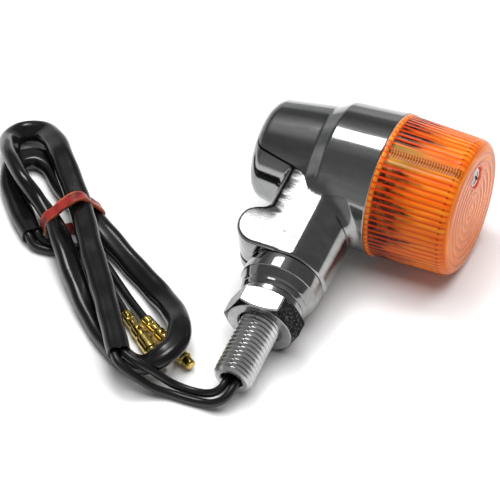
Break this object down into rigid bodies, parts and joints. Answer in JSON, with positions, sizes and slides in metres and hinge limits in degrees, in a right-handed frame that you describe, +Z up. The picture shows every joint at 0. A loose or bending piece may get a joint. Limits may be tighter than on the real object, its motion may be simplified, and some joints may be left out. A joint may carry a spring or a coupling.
{
  "type": "turn signal indicator",
  "caption": "Round chrome turn signal with ribbed amber lens, clamped on a hollow threaded stud with nut, and a sleeved two-wire lead tied in a hank.",
  "frame": {"origin": "middle of the lamp's own box (cord left out) on the table it lies on", "axes": "+X along the lamp's axis towards the lens, +Y opposite the stud's free end, +Z up from the table"},
  "size_m": [0.1212, 0.0938, 0.0361],
  "materials": {
    "chrome": "polished chrome plate on die-cast zinc",
    "dark_steel": "blackened steel",
    "zinc": "bright zinc plate",
    "screw_steel": "dull steel",
    "black_rubber": "matt rubber",
    "amber": "clear amber acrylic",
    "phenolic": "brown phenolic sheet",
    "black_plastic": "black glass insulator",
    "solder": "solder",
    "brass": "bright brass",
    "clear_glass": "clear glass",
    "black_pvc": "glossy soft PVC",
    "red_rubber": "mottled red rubber"
  },
  "bodies": {
    "stud": {"stud": "zinc", "swivel_collar": "chrome", "wire_a": "black_pvc", "wire_b": "black_pvc", "lead_sleeve": "black_pvc", "tail_wire_a": "black_pvc", "tail_wire_b": "black_pvc", "bullet_a": "brass", "bullet_b": "brass", "rubber_band": "red_rubber"},
    "lamp": {"housing": "chrome", "lens_gasket": "black_rubber", "socket_bracket": "zinc", "bracket_screws": "screw_steel", "socket_shell": "zinc", "socket_base": "phenolic", "contact_spring": "screw_steel", "power_lead": "black_pvc", "earth_lead": "black_pvc"},
    "washer": {"spring_washer": "zinc"},
    "nut": {"nut": "zinc"},
    "clamp_screw": {"clamp_screw": "dark_steel"},
    "contact": {"contact_disc": "phenolic", "contact_pin": "brass"},
    "bulb": {"bulb_cap": "brass", "bulb_insulator": "black_plastic", "bulb_contact": "solder", "bulb_glass": "clear_glass", "bulb_filament": "screw_steel"},
    "lens": {"lens": "amber"},
    "lens_screw": {"lens_screw": "screw_steel"}
  },
  "joints": [
    {"name": "lamp_swivel", "type": "hinge", "parent": "stud", "child": "lamp", "pos_m": [-0.00705, -0.00505, 0.01229], "axis": [0, -0.9814, -0.1919], "range_deg": [-90, 90]},
    {"name": "washer_slide", "type": "slide", "parent": "stud", "child": "washer", "axis": [0, -0.9814, -0.1919], "range_m": [-0.0001, 0.0152]},
    {"name": "nut_turn", "type": "hinge", "parent": "washer", "child": "nut", "pos_m": [-0.00705, -0.02232, 0.00892], "axis": [0, -0.9814, -0.1919], "range_deg": [0, 4320]},
    {"name": "clamp_screw_turn", "type": "hinge", "parent": "lamp", "child": "clamp_screw", "pos_m": [-0.01645, -0.00232, 0.00875], "axis": [0, 0.1919, -0.9814], "range_deg": [0, 720]},
    {"name": "lens_removal", "type": "slide", "parent": "lamp", "child": "lens", "axis": [1, 0, 0], "range_m": [0, 0.04]},
    {"name": "lens_screw_turn", "type": "hinge", "parent": "lens", "child": "lens_screw", "pos_m": [0.01295, 0.02666, 0.02655], "axis": [1, 0, 0], "range_deg": [0, 2160]},
    {"name": "bulb_press", "type": "slide", "parent": "lamp", "child": "contact", "axis": [-1, 0, 0], "range_m": [0, 0.0015], "stiffness_N_per_m": 1500, "springref_m": -0.001, "deforming": ["contact_spring"]},
    {"name": "bulb_turn", "type": "hinge", "parent": "contact", "child": "bulb", "pos_m": [-0.00705, 0.02439, 0.01805], "axis": [1, 0, 0], "range_deg": [0, 25]}
  ],
  "couplings": [
    {"joint": "washer_slide", "follows": "nut_turn", "m_per_rad": 0.00019894}
  ]
}
